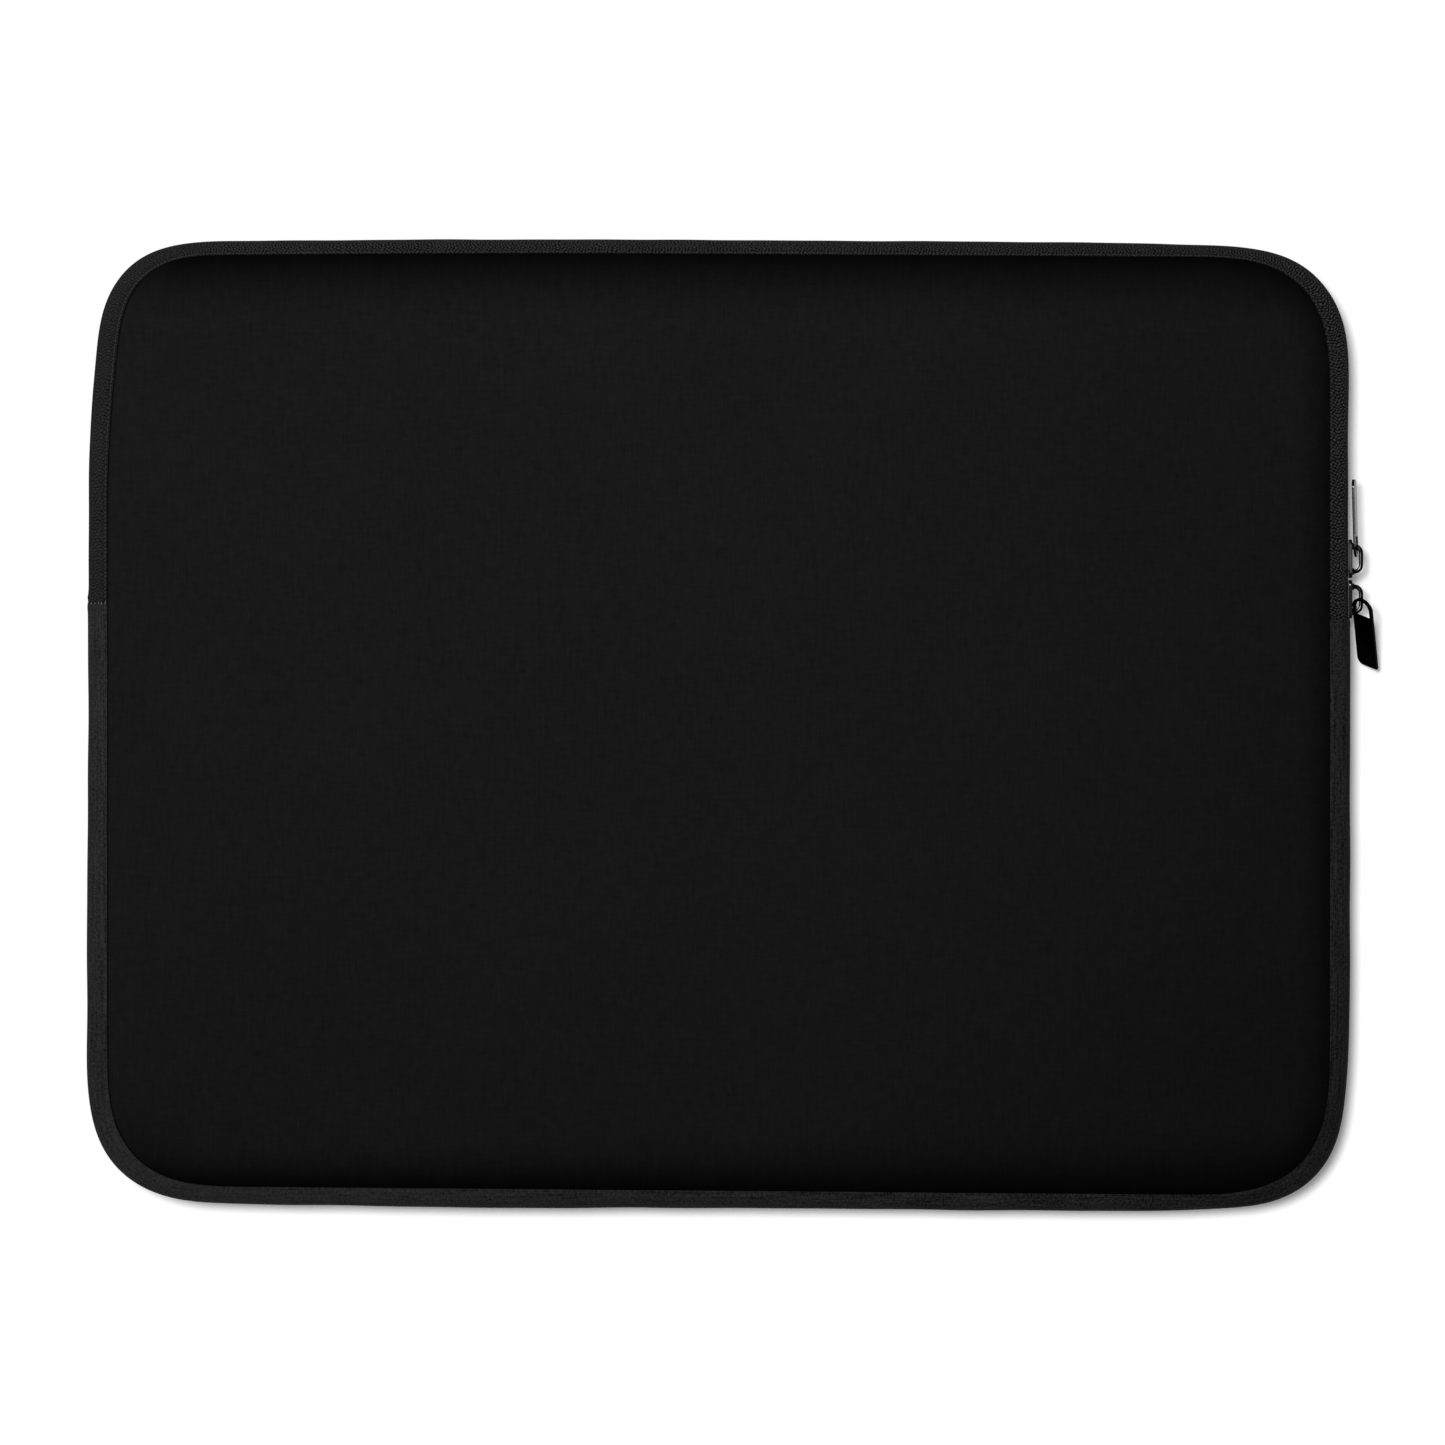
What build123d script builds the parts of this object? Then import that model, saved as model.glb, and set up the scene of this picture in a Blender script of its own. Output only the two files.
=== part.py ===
from build123d import *
from math import cos, radians, sin
import os

# Padded laptop sleeve that zips round its upper edge, with two sliders parked nose to nose.
# Millimetres. The sleeve lies on its back panel: +X to its right side, +Y to its top edge and
# +Z up through the front panel. The origin is the middle of the face that it rests on.

os.makedirs("parts", exist_ok=True)

# ---- sleeve outline -------------------------------------------------------------------------
width = 375.0  # side to side, over the lower gusset
height = 289.0  # bottom to top
thickness = 25.0  # table to the top of the front panel
top_corner_radius = 28.0
bottom_corner_radius = 32.0
top_crown = 1.6  # rise of the top edge at its middle
crown_bend_radius = 8000.0
corner_lean = 6.0  # the left side leans in by this much at its top corner
lean_length = 66.5  # that lean starts this much below the top edge
lean_bend_radius = 400.0
bottom_slant = 3.0  # the bottom edge sits lower on the right by this much

# ---- padded panels --------------------------------------------------------------------------
crown_rise = 4.0  # height of the padding over the seam
crown_roll = 11.0  # width of the rolled edge
crown_steps = 4
fabric_ply = 0.7
lining_ply = 0.6
ply_gap = 0.05  # clearance between plies that are sewn or glued

# ---- edge band: zip on the upper stretch, gusset on the lower -------------------------------
band_side = 6.0  # seam setback at the sides, seen from above
band_top = 4.3
band_bottom = 5.1
band_bend_share = 0.3  # part of the setback that is reached half way up the slope
band_overrun = 1.0  # extra height that is cut off at the seams
gusset_ply = 0.8
gusset_foam = 1.8
binding_width = 4.0
binding_thickness = 1.4
thread_thickness = 0.4
thread_inset = 1.5  # seam thread from the binding's outer edge

# ---- zip ------------------------------------------------------------------------------------
zip_end_left = 35.6  # height on the left side where the zip ends
zip_end_right = 31.3
zip_setback = 0.6  # the zip lies this much inside the gusset's outline
zip_margin = 0.1  # upright stretch of the band past each side of the slider
tape_ply = 0.5
coil_thickness = 2.0
coil_width = 2.5
coil_gap = 1.2  # room between the coils for the slider's post
coil_end_gap = 0.3
tack_length = 2.3
tack_thickness = 0.3
tack_to_seam = 0.6  # short of the seams at both ends

# ---- sliders --------------------------------------------------------------------------------
slider_length = 11.4
nose_half_width = 4.9
tail_half_width = 4.2
plate_corner_radius = 1.5
top_plate = 0.9
bottom_plate = 1.1
slider_clearance = 0.3  # round the tape and the coils
nose_gap = 0.6  # between the two parked sliders
tail_to_seam = 0.3
post_length = 2.6
post_thickness = 0.6
post_from_nose = 0.3
plate_chamfer = 0.25

# ---- bails ----------------------------------------------------------------------------------
bail_length = 8.8
bail_reach = 3.4  # out from the slider's top plate
bail_wire = 1.3
bail_depth = 0.8  # across the slider
bail_radius = 1.9

# ---- pull tabs ------------------------------------------------------------------------------
tab_length = 22.6
tab_width = 7.8
tab_thickness = 0.8
tab_end_radius = 2.2  # rounds one corner of the free end
tab_corner_radius = 0.4  # and the other one
tab_shoulder = 2.2  # where the arched head meets the straight sides
tab_bar = 0.9
tab_leg = 1.05
window_length = 5.2

# Pose of each tab: where its bar is, from the middle of its slider's top plate, and its turns
# in degrees. Lean is outwards, droop towards the table, and tilt turns its width up.
upper_out, upper_to_tail, upper_up = 1.25, 1.0, 0.0
upper_lean, upper_droop, upper_tilt = -1.5, 0.0, -82.0
lower_out, lower_to_tail, lower_up = 2.9, 0.3, 2.5
lower_lean, lower_droop, lower_tilt = 7.0, 30.0, 49.0

# ---- places that follow from the sizes ------------------------------------------------------
mid = thickness / 2
seam_half = mid - crown_rise
flat_half = nose_half_width + slider_clearance + tape_ply + zip_margin
front_seam = mid + seam_half
panel_inset = gusset_ply + 2 * ply_gap
lining_drop = ply_gap + lining_ply
binding_bottom = seam_half - lining_drop - ply_gap - binding_thickness
thread_bottom = binding_bottom - ply_gap - thread_thickness
padding_half = thread_bottom - ply_gap
tape_face = width / 2 - zip_setback
coil_face = tape_face - tape_ply - ply_gap
coil_half = coil_gap / 2 + coil_width
plate_face = tape_face + slider_clearance + top_plate
zip_end_middle = (zip_end_left + zip_end_right) / 2
zip_end = Plane(
    origin=(0, zip_end_middle, mid),
    x_dir=(width, zip_end_right - zip_end_left, 0),
    z_dir=(zip_end_left - zip_end_right, width, 0),
)
mid_plane = Plane.XY.offset(mid)
on_base = (Align.CENTER, Align.CENTER, Align.MIN)
on_face = (Align.MIN, Align.CENTER, Align.CENTER)


def outline(share, inward=0.0):
    """Edge line of the sleeve, set in by a share of the seam's setback and by inward."""
    setback = share * band_side + inward
    right = width / 2 - setback
    top = height / 2 - share * band_top - inward
    bottom = -height / 2 + share * band_bottom + inward
    return FilletPolyline(
        (right, bottom),
        (right, top - top_crown),
        (0, top),
        (-right + corner_lean, top - top_crown),
        (-right, height / 2 - lean_length),
        (-right, bottom + bottom_slant),
        radius=(
            bottom_corner_radius - setback,
            top_corner_radius - setback,
            crown_bend_radius,
            top_corner_radius - setback,
            lean_bend_radius,
            bottom_corner_radius - setback,
        ),
        close=True,
    )


def edge_area(level, share, inward=0.0):
    """Area inside the edge line, at a height over the table."""
    with BuildSketch(Plane.XY.offset(level)) as area:
        with BuildLine():
            outline(share, inward)
        make_face()
    return area.sketch


def ring(level, amount, share, outer, inner):
    """Flat ring between two edge lines, extruded upwards by amount."""
    extrude(edge_area(level, share, outer), amount=amount)
    extrude(edge_area(level, share, inner), amount=amount, mode=Mode.SUBTRACT)


def crown(depth, mode=Mode.ADD):
    """Dome of the front panel, its surface depth below the outer one."""
    for step in range(crown_steps + 1):
        turn = radians(90 * step / crown_steps)
        level = front_seam + (crown_rise - depth) * sin(turn)
        add(edge_area(level, 1, depth + (crown_roll - depth) * (1 - cos(turn))))
    loft(ruled=True, mode=mode)


def band_core(depth, setback, mode=Mode.ADD):
    """Solid inside the edge band, its side depth below the band's outer surface.

    It runs a little past the seams, where band_ply cuts it off.
    """
    bend_half = (flat_half + seam_half) / 2
    upper = [
        (flat_half - depth, 0),
        (bend_half - depth, band_bend_share),
        (seam_half - depth, 1),
        (seam_half + abs(depth) + band_overrun, 1),
    ]
    lower = [(-level, share) for level, share in reversed(upper)]
    for level, share in lower + upper:
        add(edge_area(mid + level, share, depth + (1 - share) * setback))
    loft(ruled=True, mode=mode)


def band_ply(outer_depth, inner_depth, low, high, setback=0.0):
    """One ply of the edge band, from low to high over the middle of the sleeve."""
    band_core(outer_depth, setback)
    band_core(inner_depth, setback, mode=Mode.SUBTRACT)
    with Locations((0, 0, mid + low)):
        Box(2 * width, 2 * height, high - low, align=on_base, mode=Mode.INTERSECT)


def finish(piece, name):
    """Label a piece and write it under its own name."""
    piece.part.label = name
    export_step(piece.part, f"parts/{name}.step")


# ---- front half, and the back half as its mirror image --------------------------------------
with BuildPart() as front_outer_fabric:
    crown(0)
    crown(fabric_ply, mode=Mode.SUBTRACT)

with BuildPart() as front_foam:
    crown(fabric_ply + ply_gap)

with BuildPart() as front_lining:
    extrude(edge_area(front_seam - lining_drop, 1, panel_inset), amount=lining_ply)

with BuildPart() as front_seam_binding:
    ring(mid + binding_bottom, binding_thickness, 1, panel_inset, panel_inset + binding_width)

with BuildPart() as front_seam_thread:
    thread_start = panel_inset + thread_inset
    ring(mid + thread_bottom, thread_thickness, 1, thread_start, thread_start + thread_thickness)

with BuildPart() as front_zipper_tape:
    band_ply(0, tape_ply, coil_gap / 2, seam_half - ply_gap, zip_setback)
    split(bisect_by=zip_end.offset(ply_gap), keep=Keep.TOP)

with BuildPart() as front_zipper_coil:
    coil_start = zip_setback + tape_ply + ply_gap
    ring(mid + coil_gap / 2, coil_width, 0, coil_start, coil_start + coil_thickness)
    split(bisect_by=zip_end.offset(coil_end_gap), keep=Keep.TOP)

for piece, name in (
    (front_outer_fabric, "outer_fabric"),
    (front_foam, "foam"),
    (front_lining, "lining"),
    (front_seam_binding, "seam_binding"),
    (front_seam_thread, "seam_thread"),
    (front_zipper_tape, "zipper_tape"),
    (front_zipper_coil, "zipper_coil"),
):
    with BuildPart() as back_piece:
        add(mirror(piece.part, about=mid_plane, mode=Mode.PRIVATE))
    finish(piece, f"front_{name}")
    finish(back_piece, f"back_{name}")

# ---- lower gusset: three plies from the left seam round the bottom to the right seam --------
foam_start = gusset_ply + ply_gap
inner_start = foam_start + gusset_foam + ply_gap

with BuildPart() as lower_gusset:
    band_ply(0, gusset_ply, ply_gap - seam_half, seam_half - ply_gap)
    split(bisect_by=zip_end.offset(-ply_gap), keep=Keep.BOTTOM)
finish(lower_gusset, "lower_gusset")

with BuildPart() as lower_gusset_foam:
    band_ply(foam_start, foam_start + gusset_foam, -padding_half, padding_half)
    split(bisect_by=zip_end.offset(-ply_gap), keep=Keep.BOTTOM)
finish(lower_gusset_foam, "lower_gusset_foam")

with BuildPart() as lower_gusset_lining:
    band_ply(inner_start, inner_start + lining_ply, -padding_half, padding_half)
    split(bisect_by=zip_end.offset(-ply_gap), keep=Keep.BOTTOM)
finish(lower_gusset_lining, "lower_gusset_lining")

# ---- bar tacks that hold the ends of the zip ------------------------------------------------
tack_half = seam_half - tack_to_seam

for side, keep in (("left", Keep.BOTTOM), ("right", Keep.TOP)):
    with BuildPart() as bar_tack:
        band_ply(-ply_gap - tack_thickness, -ply_gap, -tack_half, tack_half)
        split(bisect_by=zip_end.offset(-ply_gap), keep=Keep.BOTTOM)
        split(bisect_by=zip_end.offset(-ply_gap - tack_length), keep=Keep.TOP)
        split(bisect_by=Plane.YZ, keep=keep)
    finish(bar_tack, f"{side}_bar_tack")


# ---- sliders, parked nose to nose at the right end of the zip -------------------------------
def facing_out(distance):
    """Plane that faces the sleeve's right side, with its own X along the zip."""
    return Plane(origin=(distance, 0, mid), x_dir=(0, 1, 0), z_dir=(1, 0, 0))


def plate_area(distance, tail, nose):
    """Wedge-shaped outline of a slider's plates."""
    with BuildSketch(facing_out(distance)) as plate:
        with BuildLine():
            Polyline(
                (tail, -tail_half_width),
                (tail, tail_half_width),
                (nose, nose_half_width),
                (nose, -nose_half_width),
                close=True,
            )
        make_face()
        fillet(plate.vertices(), plate_corner_radius)
    return plate.sketch


def slider_body(tail, nose):
    """Die-cast body: a plate on each side of the zip, two flanges and the post at the nose."""
    channel_floor = coil_face - coil_thickness - slider_clearance
    flange_height = tape_face - tape_ply - slider_clearance - channel_floor
    outer_plate_back = tape_face + slider_clearance
    to_tail = (tail - nose) / slider_length
    inner_plate = plate_area(channel_floor - bottom_plate, tail, nose)
    extrude(inner_plate, amount=bottom_plate + flange_height)
    with Locations((channel_floor, (tail + nose) / 2, mid)):
        channel = 2 * (coil_half + slider_clearance)
        Box(flange_height, 2 * slider_length, channel, align=on_face, mode=Mode.SUBTRACT)
    with Locations((channel_floor, nose + to_tail * (post_from_nose + post_length / 2), mid)):
        Box(outer_plate_back - channel_floor, post_length, post_thickness, align=on_face)
    extrude(plate_area(outer_plate_back, tail, nose), amount=top_plate)
    chamfer(faces().sort_by(Axis.X)[-1].edges(), plate_chamfer)


def arch_area(middle, reach, length, radius):
    """Area between a slider's plate and a rounded arch that stands on it."""
    low, high = middle - length / 2, middle + length / 2
    with BuildSketch(Plane.XY.offset(mid - bail_depth / 2)) as area:
        with BuildLine():
            FilletPolyline(
                (plate_face, low),
                (plate_face + reach, low),
                (plate_face + reach, high),
                (plate_face, high),
                radius=radius,
            )
            Line((plate_face, high), (plate_face, low))
        make_face()
    return area.sketch


def slider_bail(middle):
    """Bail: the arch on the slider that carries the pull tab."""
    extrude(arch_area(middle, bail_reach, bail_length, bail_radius), amount=bail_depth)
    opening_reach = bail_reach - bail_wire
    opening_length = bail_length - 2 * bail_wire
    opening = arch_area(middle, opening_reach, opening_length, bail_radius - bail_wire / 2)
    extrude(opening, amount=bail_depth, mode=Mode.SUBTRACT)


# ---- pull tabs ------------------------------------------------------------------------------
def tab_plane(bar, direction, lean, droop, tilt):
    """Plane of a pull tab that points along +Y or -Y (direction 1 or -1) from its bar."""
    lean, droop, tilt = radians(lean), radians(droop), radians(tilt)
    flat = Vector(sin(lean), direction * cos(lean), 0)
    level = Vector(cos(lean), -direction * sin(lean), 0)
    along = flat * cos(droop) - Vector(0, 0, sin(droop))
    upward = level.cross(along) * direction
    across = level * cos(tilt) + upward * sin(tilt)
    return Plane(origin=bar, x_dir=across, z_dir=across.cross(along))


def tab_area(plane, half_width, start, end, left_radius, right_radius):
    """Area of a tab or its window: an arched head, two straight sides and a straight end."""
    with BuildSketch(plane) as area:
        with BuildLine():
            left = (-half_width, tab_shoulder)
            right = (half_width, tab_shoulder)
            ThreePointArc(left, (0, start), right)
            FilletPolyline(
                right,
                (half_width, end),
                (-half_width, end),
                left,
                radius=(right_radius, left_radius),
            )
        make_face()
    return area.sketch


def pull_tab(plane):
    """Flat tab with a D-shaped window that hangs in the bail."""
    back = plane.offset(-tab_thickness / 2)
    head = -tab_bar / 2
    outer_half = tab_width / 2
    whole = tab_area(back, outer_half, head, tab_length, tab_end_radius, tab_corner_radius)
    extrude(whole, amount=tab_thickness)
    window_end = tab_bar / 2 + window_length
    window_half = outer_half - tab_leg
    window = tab_area(
        back, window_half, tab_bar / 2, window_end, tab_corner_radius, tab_corner_radius
    )
    extrude(window, amount=tab_thickness, mode=Mode.SUBTRACT)


lower_tail = zip_end_right + tail_to_seam
lower_nose = lower_tail + slider_length
upper_nose = lower_nose + nose_gap
upper_tail = upper_nose + slider_length

sliders = {
    "upper": (upper_tail, upper_nose, 1),
    "lower": (lower_tail, lower_nose, -1),
}
tab_bars = {
    "upper": (upper_out, upper_to_tail, upper_up),
    "lower": (lower_out, lower_to_tail, lower_up),
}
tab_turns = {
    "upper": (upper_lean, upper_droop, upper_tilt),
    "lower": (lower_lean, lower_droop, lower_tilt),
}

for name, (tail, nose, direction) in sliders.items():
    middle = (tail + nose) / 2

    with BuildPart() as body:
        slider_body(tail, nose)
    finish(body, f"{name}_slider_body")

    with BuildPart() as bail:
        slider_bail(middle)
    finish(bail, f"{name}_slider_bail")

    out, to_tail, up = tab_bars[name]
    bar = (plate_face + out, middle + direction * to_tail, mid + up)
    with BuildPart() as tab:
        pull_tab(tab_plane(bar, direction, *tab_turns[name]))
    finish(tab, f"{name}_pull_tab")
    print(f"{name} slider's middle", (plate_face, middle, mid))
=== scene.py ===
from math import acos, atan2, cos, pi, radians, sin, tan

import bpy
import numpy as np
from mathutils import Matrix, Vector, geometry


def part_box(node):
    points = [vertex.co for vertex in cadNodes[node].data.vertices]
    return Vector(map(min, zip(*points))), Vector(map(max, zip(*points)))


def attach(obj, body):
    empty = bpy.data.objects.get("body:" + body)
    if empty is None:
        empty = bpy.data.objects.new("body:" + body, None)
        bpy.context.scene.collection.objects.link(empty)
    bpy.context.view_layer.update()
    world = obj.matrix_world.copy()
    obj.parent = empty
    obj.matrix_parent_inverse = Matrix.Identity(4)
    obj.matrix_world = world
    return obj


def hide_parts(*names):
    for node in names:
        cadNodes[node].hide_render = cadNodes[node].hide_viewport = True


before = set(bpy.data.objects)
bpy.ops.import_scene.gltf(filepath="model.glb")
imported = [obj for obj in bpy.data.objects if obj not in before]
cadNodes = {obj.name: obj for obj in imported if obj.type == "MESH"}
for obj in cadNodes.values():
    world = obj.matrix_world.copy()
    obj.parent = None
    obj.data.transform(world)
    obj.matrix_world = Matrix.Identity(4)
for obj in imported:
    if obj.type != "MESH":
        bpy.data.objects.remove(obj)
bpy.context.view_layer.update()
mm = 0.001  # lengths are in millimetres until a mesh is made
bothSides = (("front", 1), ("back", -1))

gussetLow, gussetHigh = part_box("lower_gusset")
frontLow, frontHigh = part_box("front_outer_fabric")
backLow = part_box("back_outer_fabric")[0]

sleeve = {  # the edge line that the band and the panels follow
    "width": (gussetHigh.x - gussetLow.x) / mm,
    "height": 289.0,
    # the corners' mean radius and how much of the bend is gathered in its middle
    "topRight": (47.0, 0.70),
    "topLeft": (43.0, 0.85),
    "bottomLeft": (52.0, 0.90),
    "bottomRight": (53.0, 0.85),
    "crown": (-60.0, 0.40),  # where the top edge is highest, and how far the soft edge rises there
    "crownFall": (0.9, 1.5),  # how much lower it is at its left and right
    "crownBend": 8000.0,
    "lean": 5.6,  # the left side is drawn in towards its top corner
    "leanLength": 62.0,
    "leanBend": 400.0,
    "slant": 3.0,  # the bottom edge sits lower on the right
    "cornerSteps": 60,
    "crownSteps": 12,
    "leanSteps": 14,
    "sideSetback": 6.25,  # seam behind the edge line, seen from above
    "topSetback": 4.9,
    "bottomSetback": 4.9,
    "section": (5, 1.6),  # powers of the band's section, flat at its middle and round at the seams
    "zipEndLeft": 36.1,  # levels of the zip's ends
    "zipEndRight": 31.3,
    "zipSetback": 0.6,  # the tapes' outer face behind the edge line
    # where the sewn edge is pushed out or drawn in: x, y, reach, amount
    "sways": [
        (-70, -144, 75, 0.85), (85, -144, 60, 0.45), (-187, -22, 45, -0.25), (-187, 18, 22, -0.35),
        (-183, 118, 35, 0.45), (-169, 140, 22, -0.45), (148, 142, 24, -0.65), (184, 117, 16, 0.60),
        (185, -116, 22, -1.25), (172, -131, 24, 0.72), (154, -142, 18, -0.80)],
}
middle = (frontHigh.z + backLow.z) / mm / 2
seamHalf = frontLow.z / mm - middle
crownRise = (frontHigh.z - frontLow.z) / mm


def unit(rows):  # the same ways, each of length 1
    return rows / np.linalg.norm(rows, axis=1)[:, None]


def soFar(steps):
    return np.concatenate([[0], np.cumsum(steps)])


def lengthSoFar(line):
    return soFar(np.linalg.norm(np.diff(line, axis=0), axis=1))


def atHeight(spots, height):
    return np.column_stack([spots, np.broadcast_to(height, len(spots))])


def cornerBend(before, corner, after, radius, gathered, steps):
    # from one straight line to the next; a gathered bend is tightest in its middle
    arriving = (corner - before) / np.linalg.norm(corner - before)
    leaving = (after - corner) / np.linalg.norm(after - corner)
    inside = np.array([-arriving[1], arriving[0]])
    turn = acos(float(np.clip(arriving @ leaving, -1, 1)))
    share = np.linspace(0, 1, steps)
    angle = turn * (share - gathered * np.sin(2 * pi * share) / (2 * pi))
    half = (angle[1:] + angle[:-1]) / 2
    step = radius * turn / (steps - 1)
    ahead, aside = step * soFar(np.cos(half))[:, None], step * soFar(np.sin(half))[:, None]
    start = corner - arriving * (ahead[-1] - aside[-1] / tan(turn))
    return start + ahead * arriving + aside * inside


def edgeTrack(share, inward=0.0):
    # the edge line moved by a share of the seam's setback and then inwards; every line has the same
    # steps, and the crown and the lean bend as widely in each
    s = sleeve
    setback = share * s["sideSetback"] + inward
    right = s["width"] / 2 - setback
    top = s["height"] / 2 + s["crown"][1] - share * s["topSetback"] - inward
    bottom = share * s["bottomSetback"] + inward - s["height"] / 2
    leftFall, rightFall = s["crownFall"]
    crownBend, leanBend = (s["crownBend"] + setback, 0), (s["leanBend"] + setback, 0)
    bends = [
        ((right, top - rightFall), s["topRight"], s["cornerSteps"]),
        ((s["crown"][0], top), crownBend, s["crownSteps"]),
        ((s["lean"] - right, top - leftFall), s["topLeft"], s["cornerSteps"]),
        ((-right, s["height"] / 2 - s["leanLength"]), leanBend, s["leanSteps"]),
        ((-right, bottom + s["slant"]), s["bottomLeft"], s["cornerSteps"]),
        ((right, bottom), s["bottomRight"], s["cornerSteps"]),
    ]
    corners = np.array([corner for corner, _, _ in bends])
    lines = []
    for i, (_, (radius, gathered), steps) in enumerate(bends):
        before, after = corners[i - 1], corners[(i + 1) % len(bends)]
        lines.append(cornerBend(before, corners[i], after, radius - setback, gathered, steps))
    # the zip's ends lie at the same level in every line
    leftEnd, rightEnd = [(-right, s["zipEndLeft"])], [(right, s["zipEndRight"])]
    return np.vstack(lines[:4] + [leftEnd] + lines[4:] + [rightEnd, lines[0][:1]])


baseTrack = edgeTrack(0)
baseAlong = lengthSoFar(baseTrack)
wholeWay = baseAlong[-1]
zipStart = sleeve["zipEndRight"] - baseTrack[0][1]  # the track starts on the right, below the corner
zipEnd = baseAlong[2 * sleeve["cornerSteps"] + sleeve["crownSteps"] + sleeve["leanSteps"]]


def onTrack(track, along):
    wrapped = np.mod(along, wholeWay)
    return np.stack([np.interp(wrapped, baseAlong, track[:, i]) for i in range(2)], axis=-1)


def outwardAt(along, reach=0.6):
    run = unit(onTrack(baseTrack, along + reach) - onTrack(baseTrack, along - reach))
    return np.stack([run[:, 1], -run[:, 0]], axis=-1)


def onward(outward):  # the way along the edge
    return np.column_stack([-outward[:, 1], outward[:, 0], 0 * outward[:, 0]])


def bendShare(height):  # how much of the setback is reached at a height over the sleeve's middle
    flat, rounded = sleeve["section"]
    return 1 - (1 - np.minimum(np.abs(height) / seamHalf, 1) ** flat) ** (1 / rounded)


def sway(along):
    spots = onTrack(baseTrack, along)
    total = np.zeros(len(spots))
    for x, y, reach, amount in sleeve["sways"]:
        away = (spots[:, 0] - x) ** 2 + (spots[:, 1] - y) ** 2
        total += amount * np.exp(-away / reach ** 2)
    return total


def ripples(along, across, waves, seed):  # soft unevenness, between -1 and 1 or so
    draw = np.random.default_rng(seed)
    total = np.zeros(np.broadcast(along, across).shape)
    for length in waves:
        phase = draw.uniform(0, 2 * pi)
        lean = draw.uniform(-0.4, 0.4)
        total += np.sin(2 * pi * (along + lean * across) / length + phase) / len(waves)
    return total


def hill(at, height, place, reach):
    return height * np.exp(-((at - place) / reach) ** 2)


def spaced(start, end, step):
    return np.linspace(start, end, max(2, int(round((end - start) / step)) + 1))


def roundWay(step):  # places right round the edge
    return np.linspace(0, wholeWay, int(wholeWay / step), endpoint=False)


print("edge line", round(wholeWay, 1), "zip from", round(zipStart, 1), "to", round(zipEnd, 1))


# meshes from rows of points


def intoScene(name, data):
    thing = bpy.data.objects.new(name, data)
    bpy.context.scene.collection.objects.link(thing)
    return thing


def makeMesh(name, points, faces, weave=None, rim=None):
    mesh = bpy.data.meshes.new(name)
    mesh.from_pydata((np.asarray(points) * mm).tolist(), [], faces)
    if weave is not None:  # way along the edge and across the cloth
        layer = mesh.attributes.new("weave", "FLOAT_VECTOR", "POINT")
        layer.data.foreach_set("vector", (weave * mm).astype(np.float32).ravel())
    if rim is not None:  # painted shade: a panel's colour, darker on its rolled edge
        layer = mesh.attributes.new("rim", "FLOAT", "POINT")
        layer.data.foreach_set("value", rim.astype(np.float32))
    mesh.polygons.foreach_set("use_smooth", [True] * len(mesh.polygons))
    mesh.update()
    return intoScene(name, mesh)


def gridFaces(rows, columns, closed=False):  # between rings of points, and back to the first ring
    i, j = np.arange(rows if closed else rows - 1)[:, None], np.arange(columns)[None, :]
    nextI, nextJ = (i + 1) % rows, (j + 1) % columns
    around = ((i, j), (nextI, j), (nextI, nextJ), (i, nextJ))
    return np.stack([a * columns + b for a, b in around], axis=-1).reshape(-1, 4).tolist()


def barFaces(rows, columns):  # round a bar, and its two ends
    ends = [list(range(columns)), [rows * columns - 1 - j for j in range(columns)]]
    return gridFaces(rows, columns) + ends


def plyFaces(faces, ring, count):
    # both faces of a ply and its cut edge; the under face has its own points, count further on
    both = faces + [[i + count for i in face[::-1]] for face in faces]
    return both + [[i, count + i, count + (i + 1) % ring, (i + 1) % ring] for i in range(ring)]


def forSide(sign, points, faces):  # the back is the front seen in the sleeve's middle plane
    if sign > 0:
        return points, faces
    return points * (1, 1, -1) + (0, 0, 2 * middle), [face[::-1] for face in faces]


def sectionFor(sign, section, marks):  # the same for a section and its weave
    section = section * (1, 1, sign)
    return (section[::-1], marks[::-1]) if sign > 0 else (section, marks)


def strip(name, along, section, across, swell, closed=False):
    # a section swept along the edge; its rows are share, inward and height, its weave goes with it
    rows, columns = len(along), len(section)
    outward = outwardAt(along)
    points, weave = np.zeros((2, rows, columns, 3))
    for j, (share, inward, height) in enumerate(section):
        out = swell(along, across[j]) * max(0, 1 - share ** 2)  # the seam stays in place
        points[:, j, :2] = onTrack(edgeTrack(share, inward), along) + outward * out[:, None]
        points[:, j, 2] = middle + height
        weave[:, j, 0] = along
        weave[:, j, 1] = across[j]
    faces = gridFaces(rows, columns, closed=True) if closed else barFaces(rows, columns)
    return makeMesh(name, points.reshape(-1, 3), faces, weave.reshape(-1, 3))


def threads(name, middles, run, lift, shape, sides=6):
    # a row of short stitches: run and lift are unit vectors, and the ends dip into the cloth
    length, width, height = shape["stitch"]
    # along a stitch: place and fullness
    stations = ((-1, 0.25), (-0.82, 0.7), (-0.4, 1), (0.4, 1), (0.82, 0.7), (1, 0.25))
    side = np.cross(run, lift)
    points = np.zeros((len(middles), len(stations), sides, 3))
    for i, (where, full) in enumerate(stations):
        centre = middles + run * where * length / 2 - lift * shape["dip"] * where ** 4 * height
        for j in range(sides):
            turn = 2 * pi * j / sides
            rise, reach = full * sin(turn) * height / 2, full * cos(turn) * width / 2
            points[:, i, j] = centre + lift * rise + side * reach
    one, step = barFaces(len(stations), sides), len(stations) * sides
    faces = [[k * step + v for v in face] for k in range(len(middles)) for face in one]
    return makeMesh(name, points.reshape(-1, 3), faces)


def squared(value, squareness):  # a sine or cosine that draws a squarer ring
    return np.sign(value) * np.abs(value) ** (2 / squareness)


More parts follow.
